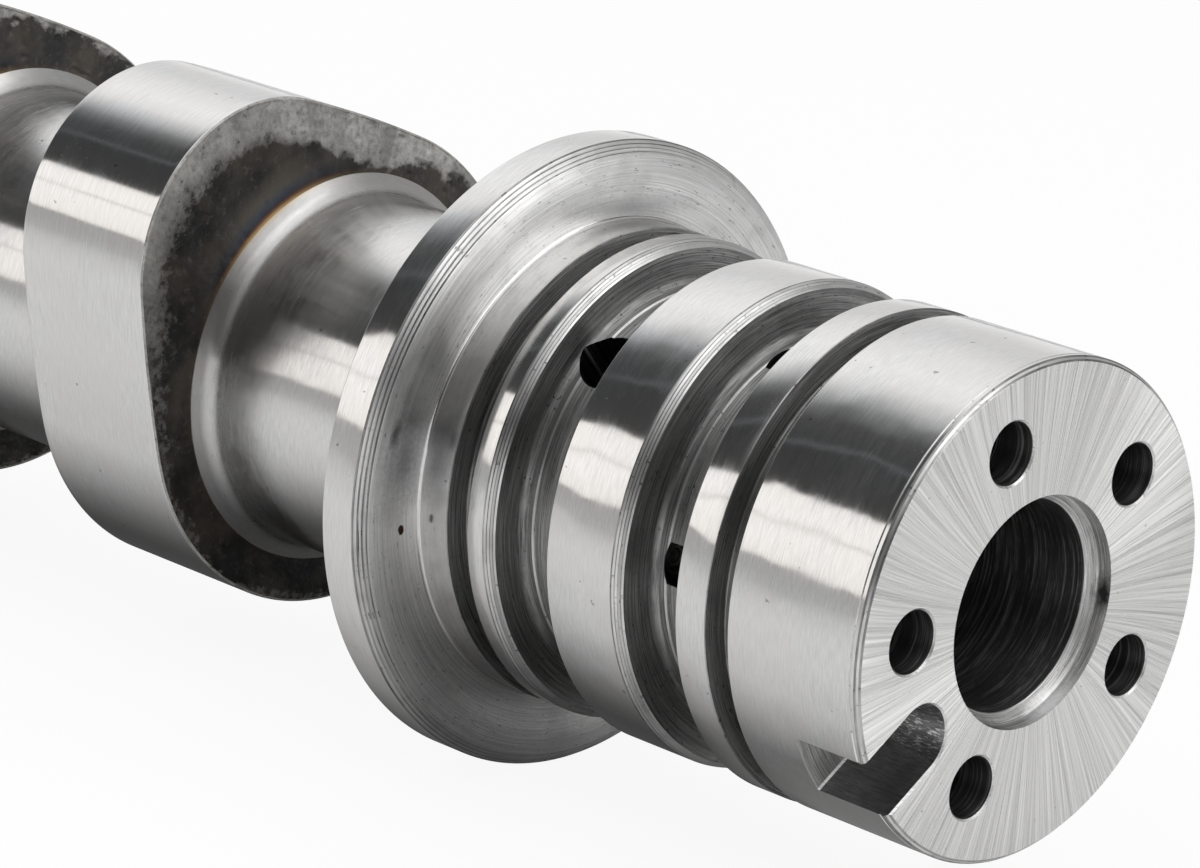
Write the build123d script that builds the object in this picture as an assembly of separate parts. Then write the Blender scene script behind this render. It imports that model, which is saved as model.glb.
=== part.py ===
"""Camshaft for an inline four: one casting with eight lobes and an oil-fed front journal.

The shaft lies along X with its drive end at +X. The origin is the centre of the front face.
Stations are distances behind that face. A clock angle is 0 at +Z and grows towards +Y,
which is clockwise for someone who faces the drive end. All lengths are in millimetres.
"""
from build123d import *
from math import acos, cos, radians, sin, sqrt, tan
import os

# Front journal, from the front face to the thrust face
JOURNAL_R = 17.5
FACE_CHAMFER = 0.35
NOSE_LAND = 11.4
SEAL_GROOVE_WIDTH = 2.0
SEAL_GROOVE_DEPTH = 1.9
NARROW_LAND = 2.7
OIL_GROOVE_WIDTH = 6.0
OIL_GROOVE_DEPTH = 3.5
OIL_CHAMFER_LENGTH = 0.8
OIL_CHAMFER_DEPTH = 0.45
WIDE_LAND = 6.0
REAR_OIL_GROOVE_WIDTH = 6.2
REAR_OIL_GROOVE_DEPTH = 3.1
REAR_SEAL_LAND = 1.5
THRUST_LAND = 2.8

# Thrust flange
FLANGE_R = 23.1
FLANGE_WIDTH = 4.1
FLANGE_CHAMFER_LENGTH = 0.8
FLANGE_CHAMFER_DEPTH = 1.0
FLANGE_REAR_CHAMFER = 0.4

# Shaft behind the flange
SHAFT_R = 13.5
CAST_SHAFT_R = 12.5
GROUND_FLARE_LENGTH = 0.65
GROUND_FLARE_RISE = 1.4
CAST_FLARE_LENGTH = 3.0
CAST_FLARE_RISE = 2.4
FLANGE_TO_FIRST_LOBE = 22.7
REAR_JOURNAL_LENGTH = 20.0
REAR_CHAMFER = 1.0
CENTRE_HOLE_R = 2.5
CENTRE_HOLE_ANGLE = 60

# Lobes: a base circle, a nose circle and two convex flanks that touch both
BASE_R = 18.3
NOSE_R = 12.0
NOSE_OFFSET = 12.7
FLANK_R = 105.0
LOBE_WIDTH = 13.4
LOBE_CHAMFER = 0.4
LOBE_PAIR_PITCH = 38.4
CYLINDER_PITCH = 96.0
PAIR_CLOCK_ANGLES = (315, 45, 225, 135)

# Central bore for the bolt that holds the drive gear
PILOT_R = 8.1
PILOT_DEPTH = 1.1
BORE_R = 7.4
BORE_DEPTH = 36.0
THREAD_CORE_R = 5.25
THREAD_DEPTH = 60.0
DRILL_POINT_ANGLE = 118

# Oil passages
PASSAGE_R = 2.2
PASSAGE_CIRCLE_R = 12.3
PASSAGE_DEPTH = 20.2
PASSAGE_CLOCK_ANGLES = (45.0, 114.2, 197.9, 267.1, 337.0)
CROSS_HOLE_R = 2.25
CROSS_HOLE_FROM_LAND = 3.1
CROSS_HOLE_CLOCK_ANGLE = 315

# Locating slot in the front face
SLOT_WIDTH = 5.0
SLOT_DEPTH = 6.1
SLOT_END_CIRCLE_R = 12.5
SLOT_CLOCK_ANGLE = 232.5

# Stations along the axis
SEAL_GROOVE = NOSE_LAND
OIL_GROOVE = SEAL_GROOVE + SEAL_GROOVE_WIDTH + NARROW_LAND
MIDDLE_LAND = OIL_GROOVE + OIL_GROOVE_WIDTH
REAR_OIL_GROOVE = MIDDLE_LAND + WIDE_LAND
REAR_SEAL_GROOVE = REAR_OIL_GROOVE + REAR_OIL_GROOVE_WIDTH + REAR_SEAL_LAND
THRUST_FACE = REAR_SEAL_GROOVE + SEAL_GROOVE_WIDTH + THRUST_LAND
FLANGE_REAR = THRUST_FACE + FLANGE_WIDTH
FIRST_LOBE = FLANGE_REAR + FLANGE_TO_FIRST_LOBE
CROSS_HOLE = REAR_OIL_GROOVE + CROSS_HOLE_FROM_LAND
PAIR_STATIONS = [FIRST_LOBE + n * CYLINDER_PITCH for n in range(len(PAIR_CLOCK_ANGLES))]
LAST_LOBE_REAR = PAIR_STATIONS[-1] + LOBE_PAIR_PITCH + LOBE_WIDTH
SHAFT_LENGTH = LAST_LOBE_REAR + REAR_JOURNAL_LENGTH


def station(distance):
    """Plane across the axis: local X at clock angle 0, local Y at 90, local Z rearwards."""
    return Plane(origin=(-distance, 0, 0), x_dir=(0, 0, 1), z_dir=(-1, 0, 0))


def at_clock(radius, angle):
    """Place on a station plane at a radius and a clock angle."""
    return Pos(radius * cos(radians(angle)), radius * sin(radians(angle)), 0)


def half_section(points):
    """Face above the shaft axis inside (station, radius) points."""
    return make_face(Polyline(*[(-s, 0, r) for s, r in points], close=True))


def turned(points):
    """Solid of revolution about the shaft axis from (station, radius) points."""
    return revolve(half_section(points), Axis.X)


def seal_groove(start):
    """Square groove for one seal ring, as (station, radius) points."""
    floor = JOURNAL_R - SEAL_GROOVE_DEPTH
    end = start + SEAL_GROOVE_WIDTH
    return [(start, JOURNAL_R), (start, floor), (end, floor), (end, JOURNAL_R)]


def oil_groove(start, width, depth):
    """Wide groove with a chamfered rear edge, as (station, radius) points."""
    floor = JOURNAL_R - depth
    end = start + width
    wall = end - OIL_CHAMFER_LENGTH
    front = [(start, JOURNAL_R), (start, floor)]
    return front + [(wall, floor), (wall, JOURNAL_R - OIL_CHAMFER_DEPTH), (end, JOURNAL_R)]


def front_journal():
    """Journal with two seal grooves, two oil grooves and the thrust flange behind it."""
    points = [(0, 0), (0, JOURNAL_R - FACE_CHAMFER), (FACE_CHAMFER, JOURNAL_R)]
    points += seal_groove(SEAL_GROOVE)
    points += oil_groove(OIL_GROOVE, OIL_GROOVE_WIDTH, OIL_GROOVE_DEPTH)
    points += oil_groove(REAR_OIL_GROOVE, REAR_OIL_GROOVE_WIDTH, REAR_OIL_GROOVE_DEPTH)
    points += seal_groove(REAR_SEAL_GROOVE)
    points += [(THRUST_FACE, JOURNAL_R), (THRUST_FACE, FLANGE_R - FLANGE_CHAMFER_DEPTH)]
    points += [(THRUST_FACE + FLANGE_CHAMFER_LENGTH, FLANGE_R)]
    points += [(FLANGE_REAR - FLANGE_REAR_CHAMFER, FLANGE_R)]
    points += [(FLANGE_REAR, FLANGE_R - FLANGE_REAR_CHAMFER), (FLANGE_REAR, 0)]
    return turned(points)


def shaft_span(start, end, radius, flare_length, flare_rise):
    """Round shaft between two faces, flared out in a short cone at each face."""
    foot = radius + flare_rise
    return turned([
        (start, 0),
        (start, foot),
        (start + flare_length, radius),
        (end - flare_length, radius),
        (end, foot),
        (end, 0),
    ])


def ground_span(start, end):
    """Ground shaft or bearing journal between two faces."""
    return shaft_span(start, end, SHAFT_R, GROUND_FLARE_LENGTH, GROUND_FLARE_RISE)


def lobe_outline():
    """Lobe profile with its nose along local X, made of four tangent arcs."""
    base_gap = FLANK_R - BASE_R
    nose_gap = FLANK_R - NOSE_R
    flank_x = (base_gap**2 - nose_gap**2 + NOSE_OFFSET**2) / (2 * NOSE_OFFSET)
    flank_y = -sqrt(base_gap**2 - flank_x**2)
    nose_end = acos((NOSE_OFFSET - flank_x) / nose_gap)
    base_end = acos(-flank_x / base_gap)
    middle = (nose_end + base_end) / 2
    nose_point = (NOSE_OFFSET + NOSE_R * cos(nose_end), NOSE_R * sin(nose_end))
    flank_point = (flank_x + FLANK_R * cos(middle), flank_y + FLANK_R * sin(middle))
    base_point = (BASE_R * cos(base_end), BASE_R * sin(base_end))
    nose_top = (NOSE_OFFSET + NOSE_R, 0)
    base_bottom = (-BASE_R, 0)
    arcs = [
        ThreePointArc(mirrored(nose_point), nose_top, nose_point),
        ThreePointArc(nose_point, flank_point, base_point),
        ThreePointArc(base_point, base_bottom, mirrored(base_point)),
        ThreePointArc(mirrored(base_point), mirrored(flank_point), mirrored(nose_point)),
    ]
    return make_face(arcs)


def mirrored(point):
    """The same point on the other flank of a lobe."""
    return (point[0], -point[1])


def lobe(start, angle):
    """One lobe with its nose at a clock angle and both rims chamfered."""
    blank = extrude(station(start) * Rot(0, 0, angle) * lobe_outline(), LOBE_WIDTH)
    groups = blank.edges().group_by(Axis.X)
    return chamfer(groups[0] + groups[-1], LOBE_CHAMFER)


def lobe_pair(start, angle):
    """Two lobes of one cylinder with the ground bearing journal between them."""
    second = start + LOBE_PAIR_PITCH
    return lobe(start, angle) + ground_span(start + LOBE_WIDTH, second) + lobe(second, angle)


def cast_span(start):
    """Unmachined shaft from the rear of one pair to the front of the next."""
    rear_of_pair = start + LOBE_PAIR_PITCH + LOBE_WIDTH
    next_pair = start + CYLINDER_PITCH
    return shaft_span(rear_of_pair, next_pair, CAST_SHAFT_R, CAST_FLARE_LENGTH, CAST_FLARE_RISE)


def rear_journal():
    """Plain ground end of the shaft with a chamfered rim."""
    return turned([
        (LAST_LOBE_REAR, 0),
        (LAST_LOBE_REAR, SHAFT_R + GROUND_FLARE_RISE),
        (LAST_LOBE_REAR + GROUND_FLARE_LENGTH, SHAFT_R),
        (SHAFT_LENGTH - REAR_CHAMFER, SHAFT_R),
        (SHAFT_LENGTH, SHAFT_R - REAR_CHAMFER),
        (SHAFT_LENGTH, 0),
    ])


def drill(radius, depth):
    """Drilled hole with a conical end, along local Z from the surface inwards."""
    tip = radius / tan(radians(DRILL_POINT_ANGLE / 2))
    outline = Polyline((0, 0, 0), (radius, 0, 0), (radius, 0, depth), (0, 0, depth + tip), close=True)
    return revolve(make_face(outline), Axis.Z)


def bolt_bore():
    """Shallow pilot, plain bore and the core of the thread beyond it."""
    pilot_chamfer = PILOT_R - BORE_R
    shoulder = (BORE_R - THREAD_CORE_R) / tan(radians(DRILL_POINT_ANGLE / 2))
    tip = THREAD_CORE_R / tan(radians(DRILL_POINT_ANGLE / 2))
    return turned([
        (0, 0),
        (0, PILOT_R),
        (PILOT_DEPTH, PILOT_R),
        (PILOT_DEPTH + pilot_chamfer, BORE_R),
        (BORE_DEPTH, BORE_R),
        (BORE_DEPTH + shoulder, THREAD_CORE_R),
        (THREAD_DEPTH, THREAD_CORE_R),
        (THREAD_DEPTH + tip, 0),
    ])


def oil_passages():
    """Drillings from the front face that break into the floor of the first oil groove."""
    hole = drill(PASSAGE_R, PASSAGE_DEPTH)
    return [station(0) * at_clock(PASSAGE_CIRCLE_R, a) * hole for a in PASSAGE_CLOCK_ANGLES]


def cross_hole():
    """Radial drilling from the rear oil groove into the central bore."""
    inward = station(CROSS_HOLE) * Rot(0, 0, CROSS_HOLE_CLOCK_ANGLE) * Rot(0, 90, 0)
    return inward * Cylinder(CROSS_HOLE_R, JOURNAL_R, align=(Align.CENTER, Align.CENTER, Align.MIN))


def face_slot():
    """Slot from a round inner end out through the rim of the front face."""
    end = Pos(SLOT_END_CIRCLE_R, 0) * Circle(SLOT_WIDTH / 2)
    reach = JOURNAL_R
    lane = Pos(SLOT_END_CIRCLE_R + reach / 2, 0) * Rectangle(reach, SLOT_WIDTH)
    return extrude(station(0) * Rot(0, 0, SLOT_CLOCK_ANGLE) * (end + lane), SLOT_DEPTH)


def centre_hole():
    """Conical centre in the rear face."""
    depth = CENTRE_HOLE_R / tan(radians(CENTRE_HOLE_ANGLE / 2))
    return turned([(SHAFT_LENGTH, 0), (SHAFT_LENGTH, CENTRE_HOLE_R), (SHAFT_LENGTH - depth, 0)])


def camshaft():
    """The whole shaft as one solid."""
    body = front_journal()
    body += ground_span(FLANGE_REAR, FIRST_LOBE)
    for start, angle in zip(PAIR_STATIONS, PAIR_CLOCK_ANGLES):
        body += lobe_pair(start, angle)
    for start in PAIR_STATIONS[:-1]:
        body += cast_span(start)
    body += rear_journal()
    body -= bolt_bore()
    for hole in oil_passages():
        body -= hole
    body -= cross_hole()
    body -= face_slot()
    return body - centre_hole()


os.makedirs("parts", exist_ok=True)
export_step(camshaft(), "parts/camshaft.step")
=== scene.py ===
"""A cast and ground camshaft on a pale studio floor.

The shaft lies along X with its drive end at +X and the centre of its front face at the origin.
Lengths are millimetres where a comment doesn't say metres, and the meshes are made in metres.
A station is the distance behind the front face. A clock angle is 0 at +Z and grows towards +Y.
"""
from math import acos, cos, hypot, pi, radians, sin, sqrt, tan

import bpy
import numpy as np
from mathutils import Matrix


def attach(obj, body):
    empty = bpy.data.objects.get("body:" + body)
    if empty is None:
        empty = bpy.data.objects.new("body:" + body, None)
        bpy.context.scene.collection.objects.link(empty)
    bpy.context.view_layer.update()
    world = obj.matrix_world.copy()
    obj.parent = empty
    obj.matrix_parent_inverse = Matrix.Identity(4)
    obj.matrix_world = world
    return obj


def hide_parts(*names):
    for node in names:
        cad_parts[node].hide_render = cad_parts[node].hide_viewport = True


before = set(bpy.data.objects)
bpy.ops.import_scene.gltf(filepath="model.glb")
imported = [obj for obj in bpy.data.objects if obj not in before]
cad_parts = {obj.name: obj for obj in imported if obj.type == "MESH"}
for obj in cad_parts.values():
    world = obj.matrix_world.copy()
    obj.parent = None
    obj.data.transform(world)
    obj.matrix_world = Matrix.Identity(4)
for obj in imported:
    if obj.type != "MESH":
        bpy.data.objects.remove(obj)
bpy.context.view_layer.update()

MM = 0.001

# Front journal. Grooves and edge line: start, end, depth. Facets: station, drop. Ridges: count, height
JOURNAL_R = 17.5
FACE_CHAMFER = 0.35
FACE_CHAMFER_FACETS = ((0.13, 0.22), (0.25, 0.1))
EDGE_LINE = (0.62, 0.76, 0.06)
SEAL_GROOVE_DEPTH = 1.9
SEAL_GROOVES = ((11.4, 13.4), (35.8, 37.8))
OIL_GROOVES = ((16.1, 22.1, 3.5), (28.1, 34.3, 3.1))
OIL_CHAMFER_LENGTH = 0.8
OIL_CHAMFER_DEPTH = 0.45
OIL_CHAMFER_RIDGES = (4, 0.05)
THRUST_FACE = 40.6
FLANGE_R = 23.1
FLANGE_REAR = 44.7
FLANGE_CHAMFER_LENGTH = 0.8
FLANGE_CHAMFER_DEPTH = 1.0
FLANGE_CHAMFER_RIDGES = (4, 0.06)
FLANGE_REAR_CHAMFER = 0.4

# Bore, oil passages and slot
PILOT_R = 8.1
PILOT_DEPTH = 1.1
BORE_R = 7.4
BORE_DEPTH = 36.0
THREAD_CORE_R = 5.25
THREAD_DEPTH = 60.0
DRILL_POINT_SLOPE = tan(radians(59))
PASSAGE_R = 2.2
PASSAGE_CIRCLE_R = 12.3
PASSAGE_DEPTH = 20.2
PASSAGE_CLOCK_ANGLES = (45.0, 114.2, 197.9, 267.1, 337.0)
CROSS_HOLE_R = 2.25
CROSS_HOLE_STATION = 31.2
CROSS_HOLE_CLOCK_ANGLE = 315
SLOT_WIDTH = 5.0
SLOT_DEPTH = 6.1
SLOT_END_CIRCLE_R = 12.5
SLOT_CLOCK_ANGLE = 232.5
LIP = 0.13
CUTTER_REACH = 2.0

# Shaft. Flares: length, rise
SHAFT_R = 13.5
CAST_SHAFT_R = 12.5
GROUND_FLARE = (0.65, 1.4)
CAST_FLARE = (3.0, 2.4)
REAR_JOURNAL_LENGTH = 20.0
REAR_CHAMFER = 1.0
CENTRE_HOLE_R = 2.5
CENTRE_HOLE_DEPTH = CENTRE_HOLE_R / tan(radians(30))
FLARE_BEND = 1.4
CAST_FLARE_BEND = 2.0
SEAT = 0.5
BEARING_SPACING = 1.5
CAST_SPACING = 0.45

# Lobes. Steps: round the outline, over each side, across the flank
BASE_R = 18.3
NOSE_R = 12.0
NOSE_OFFSET = 12.7
FLANK_R = 105.0
LOBE_WIDTH = 13.4
LOBE_CHAMFER = 0.15
LOBE_PAIR_PITCH = 38.4
PAIR_STATIONS = (67.4, 163.4, 259.4, 355.4)
PAIR_CLOCK_ANGLES = (315, 45, 225, 135)
NEAR_LOBE_STEPS = ((480, 66, 30), (360, 44, 24))
FAR_LOBE_STEPS = (240, 26, 12)
SHAFT_END = PAIR_STATIONS[-1] + LOBE_PAIR_PITCH + LOBE_WIDTH + REAR_JOURNAL_LENGTH

# Camera, as fitted to the photograph's 1200 by 868 frame
IMAGE_SIZE = (1200, 868)
FOCAL_PIXELS = 4994.9
FACE_CENTRE_PIXEL = (1033.62, 612.83)
CAMERA_DISTANCE = 330.54
CAMERA_AZIMUTH = 44.237
CAMERA_ELEVATION = 20.353
CAMERA_ROLL = 0.615
SHAFT_TURN = 9.5
SENSOR_WIDTH = 36.0

# Softbox arch, in metres. Glow: clock angle and radiance of what the metal mirrors, and its warmth
# where it isn't neutral
ARCH_R = 1.5
ARCH_ROWS = (-4.0, -0.9, -0.65, 0.85, 1.1, 1.5, 1.75, 5.0)
ARCH_GLOW = (
    (262, 0.06, 0.0), (269, 0.07, 0.05), (271, 1.28, 0.03), (288, 1.36, 0.02), (289, 0.75, 0.06),
    (290, 1.36, 0.02), (302, 1.34, 0.02), (303, 0.07, 0.0), (326, 0.06, -0.04), (328, 0.16, -0.06),
    (330, 0.07, -0.04), (340, 0.09, -0.03), (348, 0.25, -0.03), (356, 0.68, -0.02), (366, 1.15, 0.0),
    (378, 1.25, 0.0), (396, 1.1, 0.0), (412, 0.9, -0.01), (428, 0.85, 0.0), (446, 0.95, 0.0),
)
MIDDLE_GLOW = (
    (262, 0.36), (268, 0.22), (274, 0.14), (292, 0.26), (309, 0.4), (327, 0.95),
    (344, 1.3), (361, 1.4), (376, 1.25), (392, 0.8), (406, 0.5), (446, 0.4),
)
LAST_LAND_GLOW = (
    (262, 0.2), (270, 0.03), (300, 0.03), (318, 0.08), (330, 0.25), (340, 0.8),
    (353, 1.7), (373, 2.4), (393, 2.5), (408, 0.6), (420, 0.2), (446, 0.1),
)
FRONT_GLOW = (
    (262, 0.12), (300, 0.1), (318, 0.12), (328, 0.7), (340, 1.6), (352, 2.1), (368, 2.0),
    (385, 1.5), (400, 1.3), (412, 1.7), (424, 3.2), (440, 3.0), (446, 2.0),
)

# Floor card, in metres: place across the shaft and how light the lands see it; then place along it
# and the least glow there
FLOOR_CARD = (
    (-1.4, 0.5), (-0.25, 0.55), (-0.15, 0.6), (-0.1, 0.8), (-0.06, 0.9), (-0.04, 0.86),
    (-0.027, 0.73), (-0.019, 0.45), (-0.013, 0.2), (-0.009, 0.1), (-0.006, 0.07), (0.05, 0.07),
)
FLOOR_CARD_ROWS = ((-5.0, 0.0), (-0.028, 0.0), (-0.016, 0.2), (-0.004, 0.24))

# Lamps for matt surfaces, in metres: clock angle, place along X, distance, size, radiance and tint
LAMPS = (
    ("side_lamp", 286, -0.3, 1.4, (4.0, 0.8), 1.0, (1.0, 0.985, 0.955)),
    ("top_lamp", 15, 0.5, 1.4, (3.0, 1.6), 1.5, (0.985, 0.99, 1.0)),
    ("floor_lamp", 325, 0.5, 1.4, (3.0, 0.8), 1.6, (1.0, 1.0, 1.0)),
)

# Flag and floor, in metres, and the kinds of ray that pass through what only the metal mirrors
END_FLAG = ((3, -1.6, 0.0), (3, -0.1, 0.0), (3, -0.1, 0.6), (3, -1.6, 0.6))
UNSEEN_BUT_IN_METAL = ("camera", "diffuse", "shadow", "transmission", "volume_scatter")
FLOOR_REACH = 8.0
FLOOR_WHITENESS = 0.92
SKY_FILL = 0.12

# Marks: place (station, radius, clock angle), size along X, round the axis and outward, softness, colour
FLANGE_MARKS = (
    ((THRUST_FACE, 19.2, 259.5), (0.4, 0.42, 0.32), 0.12, (0.035, 0.014, 0.008, 1)),
    ((THRUST_FACE, 20.8, 279.5), (0.3, 1.0, 0.4), 0.5, (0.17, 0.17, 0.17, 1)),
    ((THRUST_FACE, 19.3, 274.5), (0.4, 3.2, 1.7), 0.7, (0.25, 0.25, 0.255, 1)),
    # Painted shade on the thrust face at the root of the last land
    ((THRUST_FACE, 18.3, 360.0), (0.4, 5.0, 0.75), 0.7, (0.38, 0.38, 0.38, 1)),
    ((THRUST_FACE + 0.5, 22.75, 260.0), (0.3, 1.8, 0.06), 0.2, (0.02, 0.02, 0.02, 1)),
)
PILOT_MARKS = (
    ((0.5, PILOT_R, 88.0), (0.8, 1.3, 0.8), 0.5, (0.03, 0.03, 0.03, 1)),
    # Painted highlight: a white spot low on the pilot wall
    ((0.5, PILOT_R, 150.0), (0.9, 2.2, 0.9), 0.6, (1, 1, 1, 1)),
    ((0.5, PILOT_R, 196.0), (0.9, 1.8, 0.9), 0.7, (0.05, 0.05, 0.05, 1)),
)


# Numbers on grids

def lattice(cell, seed):
    """Pseudo-random numbers from 0 to 1, one for each whole-number cell, by an integer hash."""
    n = cell[..., 0] * 73856093 ^ cell[..., 1] * 19349663 ^ cell[..., 2] * 83492791 ^ seed * 97531
    n = (n ^ (n >> 13)) * 1274126177 & 0x7FFFFFFF
    n = (n ^ (n >> 16)) * 668265263 & 0x7FFFFFFF
    return (n >> 7 & 0xFFFF) / 65535.0


def smooth_noise(points, seed):
    """Lattice values blended between the eight corners round each point with 3t^2 - 2t^3 weights."""
    cell = np.floor(points).astype(np.int64)
    t = points - cell
    t = t * t * (3 - 2 * t)
    total = np.zeros(points.shape[:-1])
    for corner in np.ndindex(2, 2, 2):
        weight = np.prod(np.where(corner, t, 1 - t), axis=-1)
        total += weight * lattice(cell + np.array(corner), seed)
    return total * 2 - 1


def rough(points, size, seed, octaves=4, gain=0.55):
    """Sum of smooth noises, each half the size and gain times the height of the one before."""
    layers = [gain**k * smooth_noise(points * 2**k / size + 17.3 * k, seed + k) for k in range(octaves)]
    return sum(layers) / sum(gain**k for k in range(octaves))


def smoothstep(low, high, values):
    """0 below low, 1 above high and 3t^2 - 2t^3 between."""
    t = np.clip((values - low) / (high - low), 0, 1)
    return t * t * (3 - 2 * t)


def angle_gap(angles, centre):
    """Degrees from each clock angle to a centre, the short way round."""
    return np.abs((angles - centre + 180) % 360 - 180)


# Profiles: corners are (station, radius, fillet radius, finish of the stretch that follows)

# Grooved finish: a rougher, finer cut, darker as painted shade in grooves, valleys and facets.
GROUND, FACED, TURNED, GROOVED_SHADE, DRILLED, MILLED, PILOT = range(7)


def fillet(before, corner, after, radius, steps):
    """Arc that touches both edges at a corner, centred radius / sin(half angle) along the bisector."""
    back = (before - corner) / np.linalg.norm(before - corner)
    ahead = (after - corner) / np.linalg.norm(after - corner)
    half = acos(np.clip(back @ ahead, -1, 1)) / 2
    middle = corner + (back + ahead) / np.linalg.norm(back + ahead) * radius / sin(half)
    first = corner + back * radius / tan(half) - middle
    last = corner + ahead * radius / tan(half) - middle
    share = np.linspace(0, 1, steps + 1)[:, None]
    arc = first * (1 - share) + last * share
    return middle + arc / np.linalg.norm(arc, axis=1, keepdims=True) * radius


def rounded(corners, steps=4):
    """Profile points with every corner that has a fillet radius replaced by its arc, and a finish each."""
    spots = np.array([c[:2] for c in corners], float)
    points, finishes = [], []
    for i, (_, _, radius, finish) in enumerate(corners):
        ends = i in (0, len(corners) - 1)
        if radius and not ends:
            arc = fillet(spots[i - 1], spots[i], spots[(i + 1) % len(spots)], radius, steps)
        else:
            arc = spots[i:i + 1]
        points.append(arc)
        finishes += [corners[i - 1][3] if radius and not ends else finish] * (len(arc) - 1) + [finish]
    return np.concatenate(points), np.array(finishes)


def divided(points, finishes, spacing):
    """The same profile with long stretches cut into equal steps no longer than the spacing."""
    gaps = np.linalg.norm(np.diff(points, axis=0), axis=1)
    counts = np.maximum(1, np.ceil(gaps / spacing).astype(int))
    pieces = [np.linspace(a, b, n, endpoint=False) for a, b, n in zip(points[:-1], points[1:], counts)]
    return np.concatenate(pieces + [points[-1:]]), np.append(np.repeat(finishes[:-1], counts), finishes[-1])


def ridged(start, end, count, height, finish):
    """Corners of uneven turning ridges along a slope: a long bright side up, then a valley in painted shade.
    """
    (s0, r0), (s1, r1) = start, end
    run = hypot(s1 - s0, r1 - r0)
    across = ((r0 - r1) / run, (s1 - s0) / run)
    corners = [(s0, r0, 0, finish)]
    for k in range(count):
        rise = height * (0.8 + 0.4 * sin(5.3 * k + 1))
        for place, side, what in ((0.62, 1, GROOVED_SHADE), (0.72, -1, GROOVED_SHADE), (1.0, -1, finish)):
            share = (k + place) / count
            s = s0 + (s1 - s0) * share + side * across[0] * rise
            r = r0 + (r1 - r0) * share + side * across[1] * rise
            corners.append((s, r, 0, what))
    return corners[:-1] + [(s1, r1, 0, finish)]


# Meshes

def add(name, data):
    """Object of that name in the scene's own collection."""
    made = bpy.data.objects.new(name, data)
    bpy.context.scene.collection.objects.link(made)
    return made


def make_piece(name, points, quads, triangles, finishes, materials, sharp=32):
    """Mesh object from points in millimetres, with quads first, then triangles, and a finish per face."""
    mesh = bpy.data.meshes.new(name)
    corners = np.concatenate([quads.ravel(), triangles.ravel()]).astype(np.int32)
    starts = np.concatenate([4 * np.arange(len(quads)), 4 * len(quads) + 3 * np.arange(len(triangles))])
    mesh.vertices.add(len(points))
    mesh.vertices.foreach_set("co", (points * MM).astype(np.float32).ravel())
    mesh.loops.add(len(corners))
    mesh.loops.foreach_set("vertex_index", corners)
    mesh.polygons.add(len(starts))
    mesh.polygons.foreach_set("loop_start", starts.astype(np.int32))
    mesh.polygons.foreach_set("material_index", finishes.astype(np.int32))
    mesh.update(calc_edges=True)
    mesh.validate()
    for material in materials:
        mesh.materials.append(material)
    mesh.shade_smooth()
    mesh.set_sharp_from_angle(angle=radians(sharp))
    return add(name, mesh)


def skin(rows, closed=False):
    """Quads and pole triangles over rows of points that each run once round.

    Row i joins row i + 1, and point j of a row joins point j + 1, with the last joined to the first.
    A first or last row that has one point is a pole.
    """
    counts = [len(row) for row in rows]
    offsets = np.concatenate([[0], np.cumsum(counts)])
    around = max(counts)
    j = np.arange(around)
    k = (j + 1) % around
    quads, quad_rows, triangles, triangle_rows = [], [], [], []
    for i in range(len(rows) if closed else len(rows) - 1):
        a, b = offsets[i], offsets[(i + 1) % len(rows)]
        if counts[i] == 1:
            triangles.append(np.stack([a + 0 * j, b + k, b + j], 1))
            triangle_rows += [i] * around
        elif counts[(i + 1) % len(rows)] == 1:
            triangles.append(np.stack([a + j, a + k, b + 0 * j], 1))
            triangle_rows += [i] * around
        else:
            quads.append(np.stack([a + j, a + k, b + k, b + j], 1))
            quad_rows += [i] * around
    triangles = np.concatenate(triangles) if triangles else np.zeros((0, 3), int)
    return np.concatenate(rows), np.concatenate(quads), triangles, np.array(quad_rows + triangle_rows)


def ring(station, radius, angles):
    """Points at one station: x = -station, y = radius sin(angle), z = radius cos(angle)."""
    radius = np.broadcast_to(radius, angles.shape)
    return np.stack([-station + 0 * angles, radius * np.sin(angles), radius * np.cos(angles)], 1)


def turned(name, profile, materials, around=320, closed=False, relief=None):
    """Surface of revolution: each profile point (s, r) becomes the ring (-s, r sin a, r cos a).

    The relief is a function of the ring's points that gives an extra radius for each.
    """
    points, finishes = profile
    angles = np.arange(around) * 2 * pi / around
    rows = []
    for s, r in points:
        if r < 1e-6:
            rows.append(np.array([[-s, 0.0, 0.0]]))
            continue
        row = ring(s, r, angles)
        if relief:
            row = ring(s, r + relief(row), angles)
        rows.append(row)
    vertices, quads, triangles, row_of_face = skin(rows, closed)
    return make_piece(name, vertices, quads, triangles, finishes[row_of_face], materials)


# The front journal, its bore and its cuts

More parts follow.
